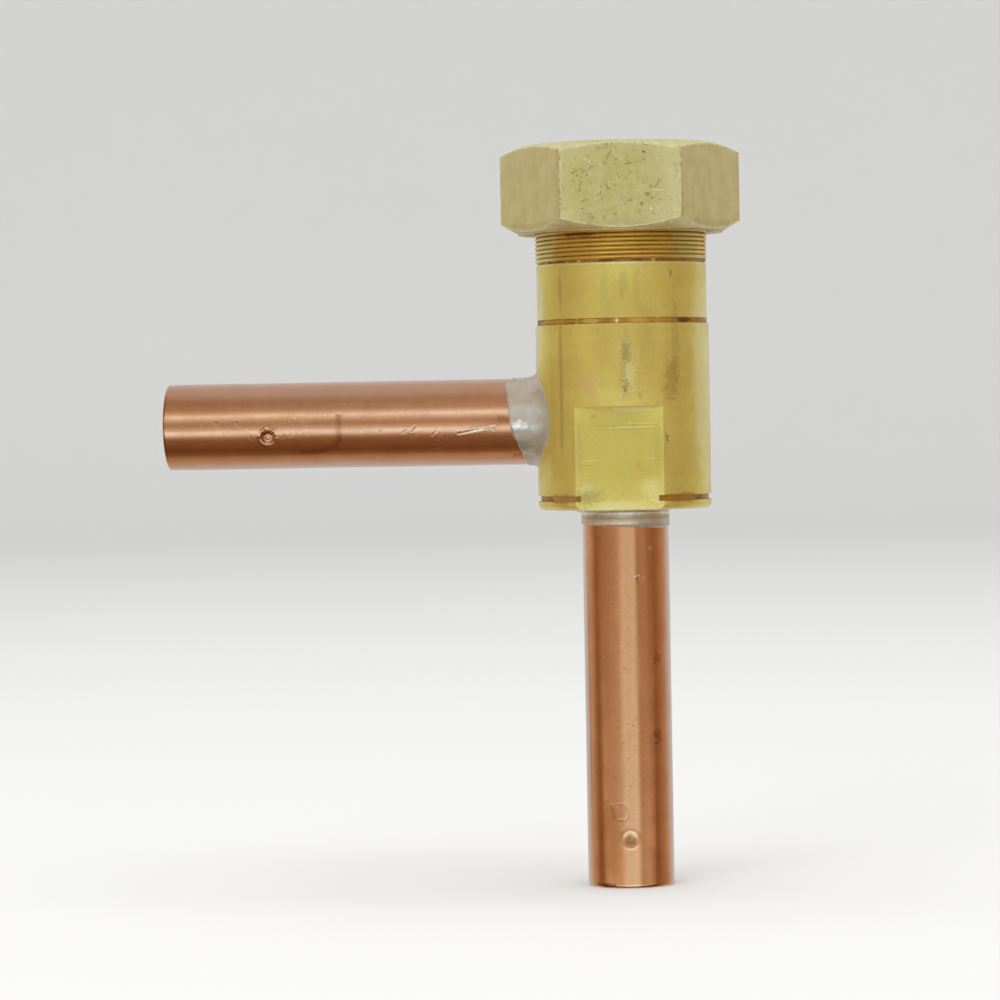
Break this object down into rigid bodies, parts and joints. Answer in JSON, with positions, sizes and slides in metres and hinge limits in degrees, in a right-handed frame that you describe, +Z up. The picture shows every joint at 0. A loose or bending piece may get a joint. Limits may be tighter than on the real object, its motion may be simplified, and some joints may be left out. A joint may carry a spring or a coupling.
{
  "type": "motorised expansion valve",
  "caption": "Angle-pattern brass expansion valve driven by a sealed stepper motor, with copper tube stubs brazed at its side and base and a hexagonal union nut over its motor bore.",
  "frame": {"origin": "centre of the lower stub's open end", "axes": "+Z up along the valve's axis, side stub along -X, milled flat facing -Y"},
  "size_m": [0.1062, 0.0396, 0.1356],
  "materials": {
    "body_brass": "turned, dull and stained",
    "nut_brass": "machined, dull, pitted",
    "copper": "drawn copper tube, tarnished",
    "braze_alloy": "silver braze, dull",
    "washer_steel": "plated sheet",
    "gasket_fibre": "compressed fibre",
    "can_steel": "drawn stainless steel",
    "seal_glass": "fused glass",
    "pin_plating": "plated contact",
    "insulator": "moulded",
    "pole_steel": "zinc plated sheet",
    "bobbin_plastic": "moulded",
    "coil_wire": "enamelled copper wire",
    "bush_bronze": "sintered bronze",
    "ferrite": "pressed ferrite",
    "hub_plastic": "moulded",
    "screw_steel": "ground stainless steel",
    "piston_brass": "fine turned",
    "seal_polymer": "fluoropolymer"
  },
  "bodies": {
    "housing": {"valve_body": "body_brass", "lower_stub_tube": "copper", "side_stub_tube": "copper", "side_braze_joint": "braze_alloy", "lower_braze_joint": "braze_alloy", "flange_gasket": "gasket_fibre", "motor_can": "can_steel", "header_plate": "can_steel", "glass_seal_1": "seal_glass", "glass_seal_2": "seal_glass", "glass_seal_3": "seal_glass", "glass_seal_4": "seal_glass", "header_pin_1": "pin_plating", "header_pin_2": "pin_plating", "header_pin_3": "pin_plating", "header_pin_4": "pin_plating", "terminal_ring": "insulator", "lower_pole_cup": "pole_steel", "lower_pole_plate": "pole_steel", "upper_pole_plate": "pole_steel", "upper_pole_cup": "pole_steel", "lower_coil_bobbin": "bobbin_plastic", "lower_coil_winding": "coil_wire", "upper_coil_bobbin": "bobbin_plastic", "upper_coil_winding": "coil_wire", "bearing_plate": "pole_steel", "lower_bush": "bush_bronze", "upper_bush": "bush_bronze", "piston_guide": "piston_brass", "piston_seal": "seal_polymer", "orifice_tube": "screw_steel", "seat_ring": "seal_polymer"},
    "rotor": {"rotor_magnet": "ferrite", "rotor_hub": "hub_plastic", "lead_screw": "screw_steel"},
    "piston": {"piston": "piston_brass", "guide_key": "screw_steel", "drive_nut": "bush_bronze"},
    "slip_ring": {"slip_washer": "washer_steel"},
    "nut": {"union_nut": "nut_brass"}
  },
  "joints": [
    {"name": "rotor_spin", "type": "hinge", "parent": "housing", "child": "rotor", "pos_m": [0, 0, 0.11], "axis": [0, 0, -1], "range_deg": [0, 2880]},
    {"name": "piston_slide", "type": "slide", "parent": "housing", "child": "piston", "axis": [0, 0, 1], "range_m": [0, 0.006]},
    {"name": "nut_lift", "type": "slide", "parent": "housing", "child": "slip_ring", "axis": [0, 0, 1], "range_m": [0, 0.00953]},
    {"name": "nut_turn", "type": "hinge", "parent": "slip_ring", "child": "nut", "pos_m": [0, 0, 0.12], "axis": [0, 0, 1], "range_deg": [0, 4320]}
  ],
  "couplings": [
    {"joint": "piston_slide", "follows": "rotor_spin", "m_per_rad": 0.00011936},
    {"joint": "nut_lift", "follows": "nut_turn", "m_per_rad": 0.00012633}
  ]
}
